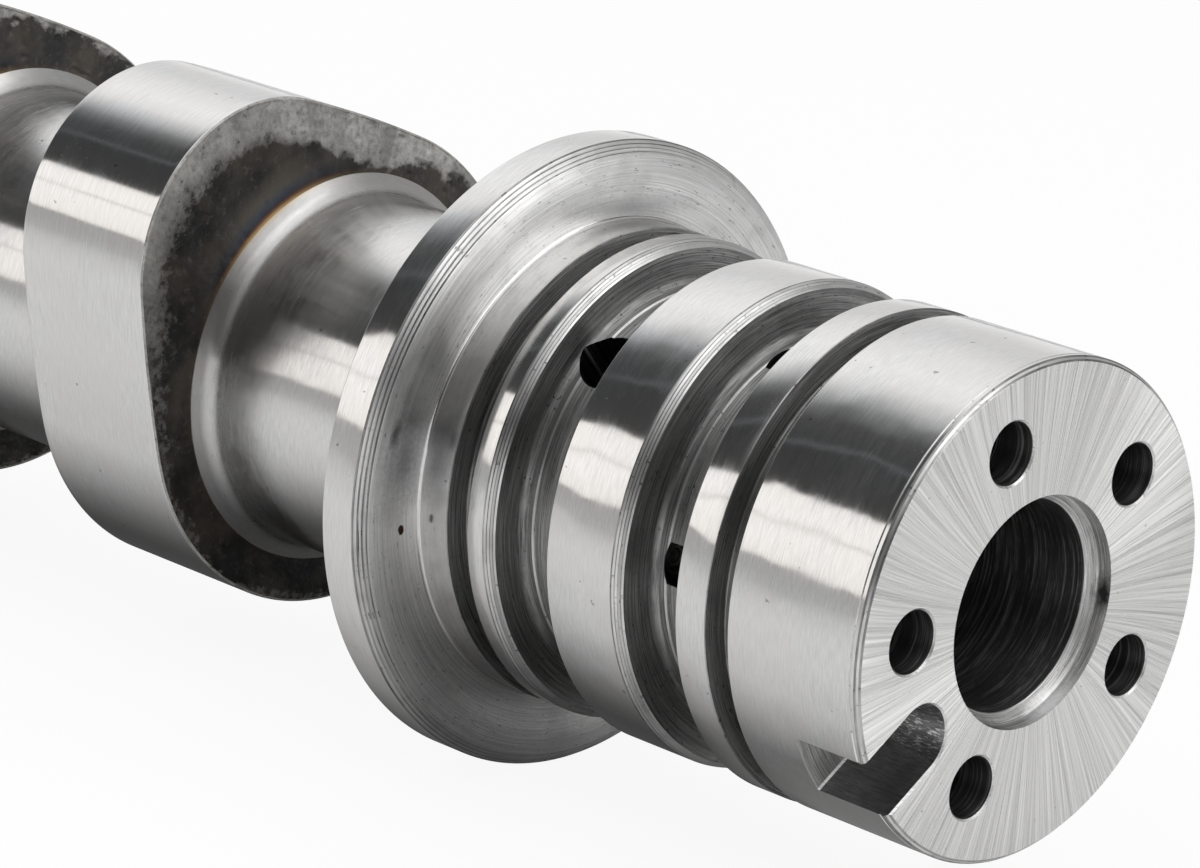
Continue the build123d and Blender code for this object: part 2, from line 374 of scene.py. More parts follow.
def front_journal_corners():
    """Profile of the journal and flange, out over the face, back along the lands and home up the bore."""
    corners = [(0, PILOT_R, 0.05, FACED), (0, JOURNAL_R - FACE_CHAMFER, 0.04, GROOVED_SHADE)]
    for (station, drop), finish in zip(FACE_CHAMFER_FACETS, (TURNED, GROOVED_SHADE)):
        corners += [(station, JOURNAL_R - drop, 0, finish)]
    corners += [(FACE_CHAMFER, JOURNAL_R, 0.05, GROUND)]
    start, end, depth = EDGE_LINE
    corners += [(start, JOURNAL_R, 0, TURNED), ((start + end) / 2, JOURNAL_R - depth, 0, TURNED)]
    corners += [(end, JOURNAL_R, 0, GROUND)]
    corners += seal_groove_corners(*SEAL_GROOVES[0])
    for groove in OIL_GROOVES:
        corners += oil_groove_corners(*groove)
    corners += seal_groove_corners(*SEAL_GROOVES[1])
    corners += [(THRUST_FACE, JOURNAL_R, 0.25, TURNED)]
    corners += [(THRUST_FACE, FLANGE_R - FLANGE_CHAMFER_DEPTH, 0, TURNED)]
    chamfer_start = (THRUST_FACE, FLANGE_R - FLANGE_CHAMFER_DEPTH)
    chamfer_end = (THRUST_FACE + FLANGE_CHAMFER_LENGTH, FLANGE_R)
    corners += ridged(chamfer_start, chamfer_end, *FLANGE_CHAMFER_RIDGES, TURNED)[1:-1]
    corners += [(*chamfer_end, 0.08, GROUND)]
    corners += [(FLANGE_REAR - FLANGE_REAR_CHAMFER, FLANGE_R, 0.1, TURNED)]
    corners += [(FLANGE_REAR, FLANGE_R - FLANGE_REAR_CHAMFER, 0.1, GROOVED_SHADE)]
    shoulder = BORE_DEPTH + (BORE_R - THREAD_CORE_R) / DRILL_POINT_SLOPE
    corners += [(FLANGE_REAR, THREAD_CORE_R, 0, DRILLED), (shoulder, THREAD_CORE_R, 0, DRILLED)]
    corners += [(BORE_DEPTH, BORE_R, 0, DRILLED), (PILOT_DEPTH + PILOT_R - BORE_R, BORE_R, 0.1, PILOT)]
    corners += [(PILOT_DEPTH, PILOT_R, 0.1, PILOT)]
    return corners


def seal_groove_corners(start, end):
    """Square groove for a seal ring."""
    floor = JOURNAL_R - SEAL_GROOVE_DEPTH
    rim = 0.07
    root = 0.15
    return [
        (start, JOURNAL_R, rim, GROOVED_SHADE),
        (start, floor, root, GROOVED_SHADE),
        (end, floor, root, GROOVED_SHADE),
        (end, JOURNAL_R, rim, GROUND),
    ]


def oil_groove_corners(start, end, depth):
    """Wide groove with rounded roots and a ridged chamfer at its rear edge."""
    floor = JOURNAL_R - depth
    wall = end - OIL_CHAMFER_LENGTH
    shoulder = JOURNAL_R - OIL_CHAMFER_DEPTH
    rim = 0.07
    root = 0.6
    step = 0.35
    corners = [(start, JOURNAL_R, rim, GROOVED_SHADE), (start, floor + step, 0.1, GROOVED_SHADE)]
    corners += [(start + step, floor + step, 0.15, GROOVED_SHADE), (start + 2 * step, floor, 0.2, GROOVED_SHADE)]
    corners += [(wall - 1.1, floor, 0.05, TURNED), (wall - 1.0, floor + 0.12, 0.05, GROOVED_SHADE)]
    corners += [(wall, floor + 0.12, root, GROOVED_SHADE)]
    corners += ridged((wall, shoulder), (end, JOURNAL_R), *OIL_CHAMFER_RIDGES, TURNED)
    return corners[:-1] + [(end, JOURNAL_R, rim, GROUND)]


def drill_cutter(name, radius, length, materials):
    """Drill along X: its top just above the origin, a lip there, full width to -length, then its point."""
    top = -CUTTER_REACH
    tip = length + radius / DRILL_POINT_SLOPE
    corners = [(top, 0, 0, TURNED), (top, radius + LIP, 0, TURNED), (0, radius + LIP, 0, TURNED)]
    corners += [(LIP, radius, 0, DRILLED), (length, radius, 0, DRILLED), (tip, 0, 0, DRILLED)]
    return turned(name, rounded(corners), materials, around=64)


def slot_cutter(name, materials):
    """Slot mill path: half a circle at the inner end, two straight sides, a depth behind the face."""
    arc = np.linspace(0.5 * pi, 1.5 * pi, 25)
    turn = radians(SLOT_CLOCK_ANGLE)
    rows = []
    for s, lip in ((-1.0, LIP), (0.0, LIP), (LIP, 0.0), (SLOT_DEPTH - LIP, 0.0), (SLOT_DEPTH, -LIP)):
        half = SLOT_WIDTH / 2 + lip
        a = np.concatenate([SLOT_END_CIRCLE_R + half * np.cos(arc), [JOURNAL_R + 3, JOURNAL_R + 3]])
        b = np.concatenate([half * np.sin(arc), [-half, half]])
        rows.append(np.stack([0 * a - s, a * sin(turn) + b * cos(turn), a * cos(turn) - b * sin(turn)], 1))
    rows = [rows[0].mean(0)[None]] + rows + [rows[-1].mean(0)[None]]
    vertices, quads, triangles, row_of_face = skin(rows)
    finishes = np.array([MILLED, MILLED, TURNED, MILLED, TURNED, PILOT])
    return make_piece(name, vertices, quads, triangles, finishes[row_of_face], materials)


def cut(piece, cutters):
    """Takes the cutters out of the piece and leaves one plain mesh."""
    for cutter in cutters:
        modifier = piece.modifiers.new(cutter.name, "BOOLEAN")
        modifier.operation = "DIFFERENCE"
        modifier.solver = "EXACT"
        modifier.object = cutter
    seen = piece.evaluated_get(bpy.context.evaluated_depsgraph_get())
    mesh = bpy.data.meshes.new_from_object(seen)
    piece.modifiers.clear()
    piece.data = mesh
    mesh.set_sharp_from_angle(angle=radians(32))
    for cutter in cutters:
        bpy.data.objects.remove(cutter)


def front_journal(materials):
    """The grooved front journal with its flange, passages, cross hole and slot."""
    corners = front_journal_corners()
    points, finishes = divided(*rounded(corners + corners[:1]), 4.0)
    piece = turned("front_journal", (points[:-1], finishes[:-1]), materials, around=360, closed=True)
    cutters = []
    for number, angle in enumerate(PASSAGE_CLOCK_ANGLES):
        cutter = drill_cutter("passage_%d" % number, PASSAGE_R, PASSAGE_DEPTH, materials)
        place = (PASSAGE_CIRCLE_R * sin(radians(angle)), PASSAGE_CIRCLE_R * cos(radians(angle)))
        cutter.data.transform(Matrix.Translation((0, place[0] * MM, place[1] * MM)))
        cutters.append(cutter)
    cross = drill_cutter("cross_hole", CROSS_HOLE_R, JOURNAL_R - THREAD_CORE_R / 2, materials)
    lift = Matrix.Translation((JOURNAL_R * MM, 0, 0))
    upright = Matrix.Rotation(-pi / 2, 4, "Y")
    clock = Matrix.Rotation(-radians(CROSS_HOLE_CLOCK_ANGLE), 4, "X")
    slide = Matrix.Translation((-CROSS_HOLE_STATION * MM, 0, 0))
    cross.data.transform(slide @ clock @ upright @ lift)
    cutters += [cross, slot_cutter("slot", materials)]
    cut(piece, cutters)
    return piece


# Shaft spans

def foot_corners(station, way, radius, flare, bend):
    """A shaft's end, sunk into the face at a station, and the short cone it has behind (1) or ahead (-1)."""
    length, rise = flare
    foot = radius + rise
    corners = [(station - way * SEAT, foot, 0, GROUND), (station, foot, 0, GROUND)]
    return corners + [(station + way * length, radius, bend, GROUND)]


def span_profile(start, end, radius, flare, spacing, bend=FLARE_BEND):
    """Shaft between two faces with a short cone at each, in the first of its piece's finishes."""
    corners = [(start - SEAT, 0, 0, GROUND)] + foot_corners(start, 1, radius, flare, bend)
    corners += foot_corners(end, -1, radius, flare, bend)[::-1] + [(end + SEAT, 0, 0, GROUND)]
    return divided(*rounded(corners, steps=6), spacing)


def front_shaft(materials):
    """Ground shaft from the flange to the first lobe, with the end of the bore inside it."""
    first = PAIR_STATIONS[0]
    tip = THREAD_DEPTH + THREAD_CORE_R / DRILL_POINT_SLOPE
    corners = [(tip, 0, 0, DRILLED), (THREAD_DEPTH, THREAD_CORE_R, 0, DRILLED)]
    corners += [(FLANGE_REAR - SEAT, THREAD_CORE_R, 0, GROUND)]
    corners += foot_corners(FLANGE_REAR, 1, SHAFT_R, GROUND_FLARE, FLARE_BEND)
    corners += foot_corners(first, -1, SHAFT_R, GROUND_FLARE, FLARE_BEND)[::-1]
    corners += [(first + SEAT, 0, 0, GROUND)]
    return turned("front_shaft", divided(*rounded(corners, steps=6), 2.0), materials, around=320)


def rear_journal(materials):
    """Plain ground end with a chamfered rim and a centre hole."""
    start = SHAFT_END - REAR_JOURNAL_LENGTH
    corners = [
        (start - SEAT, 0, 0, GROUND),
        *foot_corners(start, 1, SHAFT_R, GROUND_FLARE, FLARE_BEND),
        (SHAFT_END - REAR_CHAMFER, SHAFT_R, 0.1, TURNED),
        (SHAFT_END, SHAFT_R - REAR_CHAMFER, 0.1, TURNED),
        (SHAFT_END, CENTRE_HOLE_R, 0.05, DRILLED),
        (SHAFT_END - CENTRE_HOLE_DEPTH, 0, 0, DRILLED),
    ]
    return turned("rear_journal", divided(*rounded(corners, steps=5), 2.0), materials, around=256)


def cast_relief(points):
    """Radius added to the unmachined shaft: two sizes of noise and the low line of the mould's joint."""
    grain = 0.09 * rough(points, 2.2, 11) + 0.05 * rough(points, 0.7, 23)
    sides = np.degrees(np.arctan2(points[:, 1], points[:, 2])) % 180
    joint = 0.18 * np.exp(-(angle_gap(sides * 2, 180) / 9) ** 2)
    return grain + joint


# Lobes

def lobe_outline(around):
    """Lobe profile with its nose along local X, as points, outward normals and polar angles.

    Each normal angle belongs to one arc: the nose circle up to the flank's start, the flank circle up
    to the base circle's start, then the base circle, and the same mirrored.
    """
    base_gap = FLANK_R - BASE_R
    nose_gap = FLANK_R - NOSE_R
    flank_x = (base_gap**2 - nose_gap**2 + NOSE_OFFSET**2) / (2 * NOSE_OFFSET)
    flank_y = sqrt(base_gap**2 - flank_x**2)
    nose_end = acos((NOSE_OFFSET - flank_x) / nose_gap)
    base_end = acos(-flank_x / base_gap)
    lengths = np.array([NOSE_R * nose_end, FLANK_R * (base_end - nose_end), BASE_R * (pi - base_end)])
    along = np.linspace(0, 1, around // 2 + 1) * lengths.sum()
    normal = np.interp(along, np.concatenate([[0], np.cumsum(lengths)]), [0, nose_end, base_end, pi])
    direction = np.stack([np.cos(normal), np.sin(normal)], 1)
    on_nose = np.array([NOSE_OFFSET, 0]) + NOSE_R * direction
    on_flank = np.array([flank_x, -flank_y]) + FLANK_R * direction
    on_base = BASE_R * direction
    points = np.where((normal < base_end)[:, None], on_flank, on_base)
    points = np.where((normal < nose_end)[:, None], on_nose, points)
    mirror = np.array([1, -1])
    points = np.concatenate([points, points[-2:0:-1] * mirror])
    direction = np.concatenate([direction, direction[-2:0:-1] * mirror])
    return points, direction


def crust_and_shade_cover(points, reach, clock, seed, bare):
    """How dark the cast skin is, 0 to 1: bare near the rim, in a zone that is wider on top.

    The reach is the distance in from the rim. The zone's width is a bell over the clock angle round
    350 degrees plus a lower one round 300, times how bare the lobe is, and noise frays its edge.
    Well away from the top the skin is nowhere less than 0.72 dark. The bare rim is real wear; the
    wider zone on top and the dark skin lower down are painted light and shade.
    """
    wide = 3.1 * np.exp(-(angle_gap(clock, 350) / 42) ** 2) + 1.1 * np.exp(-(angle_gap(clock, 300) / 30) ** 2)
    edge = wide * bare - 0.5 * (1 - bare) + 0.1 + 1.7 * rough(points, 2.6, seed, 5, 0.8)
    soft = 0.6 + 2.2 * np.exp(-(angle_gap(clock, 290) / 32) ** 2)
    least = 0.72 * smoothstep(40, 75, angle_gap(clock, 345))
    return np.maximum(least, smoothstep(-soft, soft, reach - edge))


def store(piece, name, values):
    """Keeps one number per vertex for the finish to read."""
    layer = piece.data.attributes.new(name, "FLOAT", "POINT")
    layer.data.foreach_set("value", np.asarray(values, np.float32))


def vertex_places(piece):
    """Every vertex of a piece as a row x, y, z."""
    places = np.empty(len(piece.data.vertices) * 3)
    piece.data.vertices.foreach_get("co", places)
    return places.reshape(-1, 3)


def near_lobe(piece, stations):
    """1 up to 1 mm from the given stations, fading to 0 at 7 mm."""
    x = vertex_places(piece)[:, 0]
    gaps = [np.abs(-x / MM - s) for s in stations]
    return 1 - smoothstep(1.0, 7.0, np.min(gaps, axis=0))


def lit_side(piece):
    """Heat ring strength, painted light on the lit side only: 0.02 + 0.98 exp(-(clock gap / 19)^2) round 324
    degrees.
    """
    _, y, z = vertex_places(piece).T
    return 0.02 + 0.98 * np.exp(-(angle_gap(np.degrees(np.arctan2(y, z)), 324) / 19) ** 2)


def lobe(name, start, nose_clock, materials, seed, bare, around, side_steps, flank_steps):
    """One lobe: rows run from the axis out over the front side, across the flank and back in.

    On a side, point (t, u) lies a share t of the way from the shaft's ring to the chamfer. Across the
    flank it is the outline moved along its normal by the rounded chamfer's offset.
    """
    outline, normal = lobe_outline(around)
    polar = np.arctan2(outline[:, 1], outline[:, 0])
    inner_r = SHAFT_R + GROUND_FLARE[1] - 0.8
    inner = inner_r * np.stack([np.cos(polar), np.sin(polar)], 1)
    edge = outline - LOBE_CHAMFER * normal
    chamfer = [
        (0, -LOBE_CHAMFER, 0, GROUND),
        (LOBE_CHAMFER, 0, 0.1, GROUND),
        (LOBE_WIDTH - LOBE_CHAMFER, 0, 0.1, GROUND),
        (LOBE_WIDTH, -LOBE_CHAMFER, 0, GROUND),
    ]
    across, _ = divided(*rounded(chamfer, steps=3), (LOBE_WIDTH - 2 * LOBE_CHAMFER) / flank_steps)
    level = np.nonzero(across[:, 1] > -0.08)[0]
    turn = radians(nose_clock)
    clock = (np.degrees(polar) + nose_clock) % 360

    def place(flat, stations):
        y = flat[:, 0] * sin(turn) + flat[:, 1] * cos(turn)
        z = flat[:, 0] * cos(turn) - flat[:, 1] * sin(turn)
        return np.stack([-stations, y, z], 1)

    def side_rows(station, outward):
        made = []
        for t in np.linspace(0, 1, side_steps, endpoint=False):
            flat = inner * (1 - t) + edge * t
            points = place(flat, np.full(around, float(station)))
            reach = np.linalg.norm(edge - flat, axis=1)
            # Skin cover: real wear at the rim, with painted light on top and painted shade lower down.
            crust_and_shade = crust_and_shade_cover(points, reach, clock, seed, bare)
            waves = 0.1 * rough(points, 2.4, seed + 3)
            relief = waves + 0.09 * rough(points, 0.8, seed + 9) * (1 - 0.5 * crust_and_shade)
            pits = smoothstep(0.35, 0.6, rough(points, 1.1, seed + 21, 2))
            hem = smoothstep(0, 0.12, t)
            points[:, 0] += outward * hem * (relief - 0.05 - 0.12 * pits)
            made.append((points, crust_and_shade))
        return made

    def pole(station):
        return np.array([[-station, 0.0, 0.0]]), np.zeros(1)

    made = [pole(start)] + side_rows(start, 1)
    for s, offset in across:
        made.append((place(outline + offset * normal, np.full(around, start + s)), np.zeros(around)))
    made += side_rows(start + LOBE_WIDTH, -1)[::-1] + [pole(start + LOBE_WIDTH)]
    rows, cover = zip(*made)
    vertices, quads, triangles, row_of_face = skin(rows)
    first = 1 + side_steps
    ground = (row_of_face >= first + level[0]) & (row_of_face < first + level[-1])
    piece = make_piece(name, vertices, quads, triangles, np.where(ground, 0, 1), materials, sharp=40)
    store(piece, "crust_and_shade", np.concatenate(cover))
    store(piece, "heat_tint_lit_side", lit_side(piece))
    return piece


# Finishes

class Finish:
    """A metal finish made of nodes. Most methods add one node and give its output."""

    def __init__(self, name, **sockets):
        self.material = bpy.data.materials.new(name)
        self.material.use_nodes = True
        self.tree = self.material.node_tree
        self.shader = self.tree.nodes["Principled BSDF"]
        for socket, value in sockets.items():
            self.shader.inputs[socket.replace("_", " ")].default_value = value
        position = self.node("ShaderNodeTexCoord").outputs["Object"]
        self.position = self.vector("SCALE", position, scale=1 / MM)
        split = self.node("ShaderNodeSeparateXYZ", Vector=self.position)
        self.x = split.outputs["X"]
        flat = self.vector("MULTIPLY", self.position, (0, 1, 1))
        self.radius = self.vector("LENGTH", flat, output="Value")
        self.outward = self.vector("NORMALIZE", flat)

    def node(self, kind, **inputs):
        made = self.tree.nodes.new(kind)
        for name, value in inputs.items():
            self.feed(made.inputs[name.replace("_", " ")], value)
        return made

    def feed(self, socket, value):
        if isinstance(value, bpy.types.NodeSocket):
            self.tree.links.new(value, socket)
        else:
            socket.default_value = value

    def vector(self, operation, first, second=None, scale=None, output="Vector"):
        made = self.tree.nodes.new("ShaderNodeVectorMath")
        made.operation = operation
        self.feed(made.inputs[0], first)
        if second is not None:
            self.feed(made.inputs[1], second)
        if scale is not None:
            self.feed(made.inputs["Scale"], scale)
        return made.outputs[output]

    def math(self, operation, first, second=0.0):
        made = self.tree.nodes.new("ShaderNodeMath")
        made.operation = operation
        self.feed(made.inputs[0], first)
        self.feed(made.inputs[1], second)
        return made.outputs[0]

    def join(self, x, y, z):
        return self.node("ShaderNodeCombineXYZ", X=x, Y=y, Z=z).outputs[0]

    def noise(self, vector, scale=1.0, detail=3.0, roughness=0.55):
        made = self.node("ShaderNodeTexNoise", Vector=vector, Scale=scale, Detail=detail, Roughness=roughness)
        return made.outputs["Fac"]

    def spread(self, value, low, high, to_low=0.0, to_high=1.0):
        made = self.node("ShaderNodeMapRange", Value=value)
        for name, number in (("From Min", low), ("From Max", high), ("To Min", to_low), ("To Max", to_high)):
            self.feed(made.inputs[name], number)
        return made.outputs[0]

    def stored(self, name):
        made = self.tree.nodes.new("ShaderNodeAttribute")
        made.attribute_name = name
        return made.outputs["Fac"]

    def mix(self, factor, first, second):
        made = self.tree.nodes.new("ShaderNodeMix")
        made.data_type = "RGBA"
        self.feed(made.inputs["Factor"], factor)
        self.feed(made.inputs[6], first)
        self.feed(made.inputs[7], second)
        return made.outputs[2]

    def ramp(self, value, stops):
        made = self.node("ShaderNodeValToRGB", Fac=value)
        elements = made.color_ramp.elements
        while len(elements) < len(stops):
            elements.new(0.5)
        for element, (place, colour) in zip(elements, stops):
            element.position = place
            element.color = (*colour, 1)
        return made.outputs["Color"]

    def bump(self, height, distance, normal=None):
        made = self.node("ShaderNodeBump", Height=height, Distance=distance * MM, Strength=1.0)
        if normal is not None:
            self.feed(made.inputs["Normal"], normal)
        return made.outputs[0]

    def around_axis(self, along, about):
        """Vector for grain that runs round the axis: quick along X, slow round it, with no seam."""
        turn = self.vector("SCALE", self.outward, scale=about)
        x = self.math("MULTIPLY", self.x, along)
        return self.vector("ADD", turn, self.join(x, 0.0, 0.0))

    def spot(self, colour, place, size, soft, mark_colour):
        """Patch of one colour at a station, radius and clock angle, sized along X, round the axis and
        outward.
        """
        station, radius, clock = place
        turn = self.node("ShaderNodeVectorRotate", Vector=self.position, Axis=(1.0, 0.0, 0.0))
        self.feed(turn.inputs["Angle"], radians(clock))
        away = self.vector("SUBTRACT", turn.outputs[0], (-station, 0.0, radius))
        gap = self.vector("LENGTH", self.vector("DIVIDE", away, size), output="Value")
        ragged = self.math("MULTIPLY", self.noise(self.position, 3.0, 3.0, 0.6), 0.8)
        cover = self.spread(self.math("ADD", gap, ragged), 1.25 - soft, 1.25 + soft, 1.0, 0.0)
        return self.mix(cover, colour, mark_colour)

    def finish(self, colour, roughness, normal, spread_along=None):
        if spread_along is not None:
            self.feed(self.shader.inputs["Tangent"], spread_along)
        self.feed(self.shader.inputs["Base Color"], colour)
        self.feed(self.shader.inputs["Roughness"], roughness)
        self.feed(self.shader.inputs["Normal"], normal)
        return self.material


def grey(value, warm=0.0):
    """A near-neutral colour, redder than blue by the warm share."""
    return (value * (1 + warm), value, value * (1 - warm), 1)


def ground_steel(name="ground_steel", film_wave=0.1, polish=0.11, scratched=0.7, lit_side_tint=False, streak=0.55):
    """Cylindrical grinding: fine lines round the axis, under an oil film that waves by film_wave."""
    f = Finish(name, Metallic=1.0, Anisotropic=streak)
    grain = f.noise(f.around_axis(11.0, 16.0), 1.0, 3.0, 0.6)
    lines = f.noise(f.around_axis(3.1, 5.0), 1.0, 4.0, 0.65)
    wave = f.noise(f.position, 0.22, 1.5, 0.4)
    film = f.noise(f.position, 0.13, 4.0, 0.6)
    oily = f.spread(film, 0.47, 0.5)
    colour = f.mix(f.spread(grain, 0.3, 0.7), grey(0.57, 0.008), grey(0.70, 0.006))
    colour = f.mix(f.math("MULTIPLY", oily, 0.35), colour, grey(0.62, 0.04))
    dust = f.noise(f.position, 1.1, 2.0, 0.5)
    colour = f.mix(f.spread(dust, 0.74, 0.76, 0.0, 0.6), colour, grey(0.16, 0.02))
    lean = f.node("ShaderNodeVectorRotate", Vector=f.position, Axis=(0.6, -0.8, 0.0), Angle=0.7)
    hair = f.noise(f.vector("MULTIPLY", lean.outputs[0], (9.0, 0.45, 9.0)), 1.0, 1.0, 0.4)
    patch = f.spread(f.noise(f.position, 0.16, 2.0, 0.5), 0.52, 0.6)
    scratch = f.math("MULTIPLY", f.spread(hair, 0.78, 0.8, 0.0, scratched), patch)
    colour = f.mix(scratch, colour, grey(0.85))
    # Heat tint at the flare's foot, drawn on the lit side only: partly painted light.
    if lit_side_tint:
        tint_on_lit_side = f.math("MULTIPLY", f.spread(f.radius, 14.55, 14.9), f.stored("heat_tint_lit_side"))
        colour = f.mix(tint_on_lit_side, colour, (0.6, 0.47, 0.3, 1))
    # Within 7 mm of a lobe the steel is duller and darker: partly a satin finish, partly painted shade next
    # to the lobe.
    satin_and_shade = f.stored("satin_and_shade")
    colour = f.mix(f.math("MULTIPLY", satin_and_shade, 0.3), colour, grey(0.34))
    base = f.math("ADD", f.spread(lines, 0.3, 0.7, polish, polish + 0.06), f.math("MULTIPLY", scratch, 0.3))
    base = f.math("ADD", base, f.math("MULTIPLY", satin_and_shade, 0.09))
    roughness = f.math("SUBTRACT", base, f.math("MULTIPLY", oily, 0.025))
    if lit_side_tint:
        roughness = f.math("ADD", roughness, f.spread(f.radius, 13.52, 14.2, 0.0, 0.07))
    normal = f.bump(wave, film_wave)
    normal = f.bump(grain, 0.0007, normal)
    return f.finish(colour, roughness, normal, f.join(1.0, 0.0, 0.0))


def faced_steel():
    """Cup-ground face: fans of fine straight scratches that lean a little off the radius."""
    f = Finish("faced_steel", Metallic=1.0, Anisotropic=0.88)
    fans = []
    for lean, seed, pitch in ((0.002, 3.0, 62.0), (0.005, 11.0, 105.0), (-0.004, 23.0, 140.0)):
        turn = f.node("ShaderNodeVectorRotate", Vector=f.outward, Axis=(1.0, 0.0, 0.0))
        f.feed(turn.inputs["Angle"], f.math("MULTIPLY", f.radius, lean))
        ray = f.vector("SCALE", turn.outputs[0], scale=pitch)
        depth = f.math("MULTIPLY", f.radius, 0.02)
        fans.append(f.noise(f.vector("ADD", ray, f.join(depth, seed, 0.0)), 1.0, 4.0, 0.75))
    both = f.math("ADD", fans[0], fans[1])
    shade = f.spread(both, 0.72, 1.28)
    tones = ((0.0, (0.4, 0.4, 0.395)), (0.45, (0.63, 0.625, 0.615)), (1.0, (0.9, 0.895, 0.885)))
    colour = f.ramp(shade, tones)
    colour = f.mix(f.spread(fans[2], 0.68, 0.72, 0.0, 0.6), colour, grey(1.0))
    colour = f.mix(f.spread(fans[2], 0.27, 0.31, 0.45, 0.0), colour, grey(0.2))
    nick = f.noise(f.position, 1.3, 3.0, 0.6)
    colour = f.mix(f.spread(nick, 0.7, 0.73, 0.0, 0.75), colour, grey(0.2))
    roughness = f.spread(fans[0], 0.3, 0.7, 0.22, 0.36)
    normal = f.bump(both, 0.009)
    return f.finish(colour, roughness, normal, f.vector("CROSS_PRODUCT", f.outward, (1.0, 0.0, 0.0)))


def turned_steel(name, low, high, dull, fine=1.0, smudges=0.35, crumbs=0.8, depth=0.02, metal=1.0, marks=()):
    """Lathe work: rings across X and the radius, torn here and there, with dull smudges of coolant.

    The rings run from a low to a high grey, and the finer the cut, the closer they lie. The marks are
    patches laid on top: dark patches, painted shade and a painted highlight.
    """
    f = Finish(name, Metallic=metal, Anisotropic=0.75)
    travel = f.math("ADD", f.math("MULTIPLY", f.radius, 8.0 * fine), f.math("MULTIPLY", f.x, 9.0 * fine))
    turn = f.vector("SCALE", f.outward, scale=1.6 * fine)
    rings = f.noise(f.vector("ADD", turn, f.join(travel, 0.0, 0.0)), 1.0, 4.0, 0.75)
    tear_turn = f.vector("SCALE", f.outward, scale=26.0)
    tear_travel = f.math("MULTIPLY", travel, 0.6)
    tears = f.noise(f.vector("ADD", tear_turn, f.join(tear_travel, 0.0, 0.0)), 1.0, 3.0, 0.7)
    smudge = f.noise(f.position, 0.33, 4.0, 0.6)
    colour = f.mix(f.spread(rings, 0.32, 0.68), grey(low), grey(high, 0.01))
    colour = f.mix(f.spread(smudge, 0.52, 0.8, 0.0, smudges), colour, grey(low * 0.6, 0.03))
    colour = f.mix(f.spread(tears, 0.62, 0.69, 0.0, crumbs), colour, grey(low * 0.3, 0.05))
    for mark in marks:
        colour = f.spot(colour, *mark)
    roughness = f.spread(smudge, 0.3, 0.7, dull - 0.08, dull + 0.08)
    normal = f.bump(rings, depth, f.bump(tears, 0.01))
    return f.finish(colour, roughness, normal, f.vector("SUBTRACT", f.outward, (1.0, 0.0, 0.0)))


def drilled_steel():
    """Drilled walls: dull dark metal with the drill's spiral marks."""
    f = Finish("drilled_steel", Metallic=1.0, Anisotropic=0.6)
    climb = f.math("MULTIPLY", f.x, 5.5)
    turn = f.vector("SCALE", f.outward, scale=1.3)
    marks = f.noise(f.vector("ADD", turn, f.join(climb, 0.0, 0.0)), 1.0, 5.0, 0.8)
    colour = f.mix(f.spread(marks, 0.5, 0.68), grey(0.12), grey(0.55))
    normal = f.bump(marks, 0.04)
    return f.finish(colour, f.spread(marks, 0.3, 0.7, 0.3, 0.45), normal, f.join(1.0, 0.0, 0.0))


def milled_steel():
    """Slot walls: dark cuts with fine lines along X, and chatter at the slot's round end painted white as
    highlight.
    """
    f = Finish("milled_steel", Metallic=1.0)
    lines = f.noise(f.vector("MULTIPLY", f.position, (0.8, 6.0, 6.0)), 1.0, 4.0, 0.7)
    chatter = f.noise(f.vector("MULTIPLY", f.position, (1.6, 8.0, 8.0)), 1.0, 3.0, 0.65)
    soot = f.noise(f.position, 0.5, 3.0, 0.6)
    colour = f.mix(f.spread(lines, 0.3, 0.7), grey(0.16), grey(0.4))
    colour = f.mix(f.spread(soot, 0.45, 0.65, 0.0, 0.5), colour, grey(0.14))
    # Chatter marks at the round inner end, painted white: real marks drawn as a painted highlight.
    inner = f.spread(f.radius, 11.2, 13.0, 0.9, 0.0)
    colour = f.mix(f.math("MULTIPLY", f.spread(chatter, 0.54, 0.62), inner), colour, grey(1.0))
    normal = f.bump(chatter, 0.02, f.bump(lines, 0.01))
    return f.finish(colour, f.spread(soot, 0.3, 0.7, 0.3, 0.42), normal, f.join(1.0, 0.0, 0.0))


